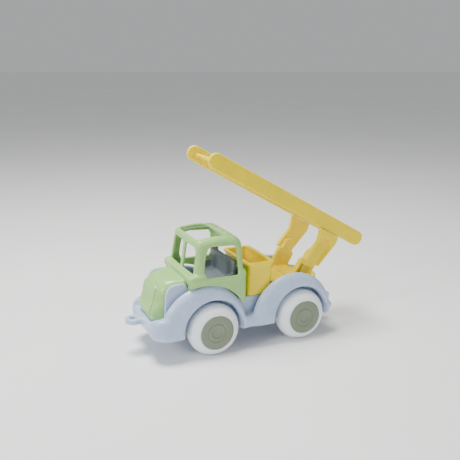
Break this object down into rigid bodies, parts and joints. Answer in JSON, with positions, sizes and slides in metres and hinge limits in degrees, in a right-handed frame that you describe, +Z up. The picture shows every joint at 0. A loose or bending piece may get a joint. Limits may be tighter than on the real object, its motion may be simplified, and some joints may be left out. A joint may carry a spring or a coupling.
{
  "type": "toy ladder truck",
  "caption": "Toy truck with an open cab, a cargo tub, doughnut wheels that roll and a ladder that tilts on a turntable.",
  "frame": {"origin": "on the ground under the middle of the overall length and width", "axes": "+X forward over the hood, +Y to the truck's left, +Z up"},
  "size_m": [0.2988, 0.1044, 0.2335],
  "materials": {
    "pale_blue": "satin moulded plastic",
    "pale_green": "satin moulded plastic",
    "grille_green": "satin moulded plastic",
    "yellow": "satin moulded plastic",
    "grey": "satin moulded plastic",
    "white_tyre": "soft satin",
    "white_rim": "satin",
    "sage": "satin",
    "axle_steel": "drawn wire"
  },
  "bodies": {
    "chassis": {"chassis_frame": "pale_blue", "front_axle_keeper": "pale_blue", "rear_axle_keeper": "pale_blue", "cab_shell": "pale_green", "cab_frame": "pale_green", "grille_panel": "grille_green", "seat_bench": "grey", "cargo_tub": "yellow"},
    "turntable": {"turntable": "yellow"},
    "ladder": {"ladder_rail_left": "yellow", "ladder_rail_right": "yellow", "ladder_leg_left": "yellow", "ladder_leg_right": "yellow", "pivot_pin_left": "yellow", "pivot_pin_right": "yellow", "ladder_rung_1": "yellow", "ladder_rung_2": "yellow", "ladder_rung_3": "yellow", "ladder_rung_4": "yellow", "ladder_rung_5": "yellow", "ladder_rung_6": "yellow", "ladder_rung_7": "yellow", "ladder_rung_8": "yellow", "ladder_rung_9": "yellow", "ladder_rung_10": "yellow", "ladder_rung_11": "yellow"},
    "front_wheels": {"front_axle": "axle_steel", "front_left_tyre": "white_tyre", "front_left_rim": "white_rim", "front_left_hub_cap": "sage", "front_right_tyre": "white_tyre", "front_right_rim": "white_rim", "front_right_hub_cap": "sage"},
    "rear_wheels": {"rear_axle": "axle_steel", "rear_left_tyre": "white_tyre", "rear_left_rim": "white_rim", "rear_left_hub_cap": "sage", "rear_right_tyre": "white_tyre", "rear_right_rim": "white_rim", "rear_right_hub_cap": "sage"}
  },
  "joints": [
    {"name": "turntable_turn", "type": "hinge", "parent": "chassis", "child": "turntable", "pos_m": [-0.0619, 0, 0.069], "axis": [0, 0, 1], "range_deg": [-90, 90]},
    {"name": "ladder_tilt", "type": "hinge", "parent": "turntable", "child": "ladder", "pos_m": [-0.0789, 0, 0.1], "axis": [0, -1, 0], "range_deg": [-26, 30]},
    {"name": "front_wheels_roll", "type": "hinge", "parent": "chassis", "child": "front_wheels", "pos_m": [0.05675, 0, 0.031], "axis": [0, 1, 0], "continuous": true},
    {"name": "rear_wheels_roll", "type": "hinge", "parent": "chassis", "child": "rear_wheels", "pos_m": [-0.05855, 0, 0.031], "axis": [0, 1, 0], "continuous": true}
  ]
}
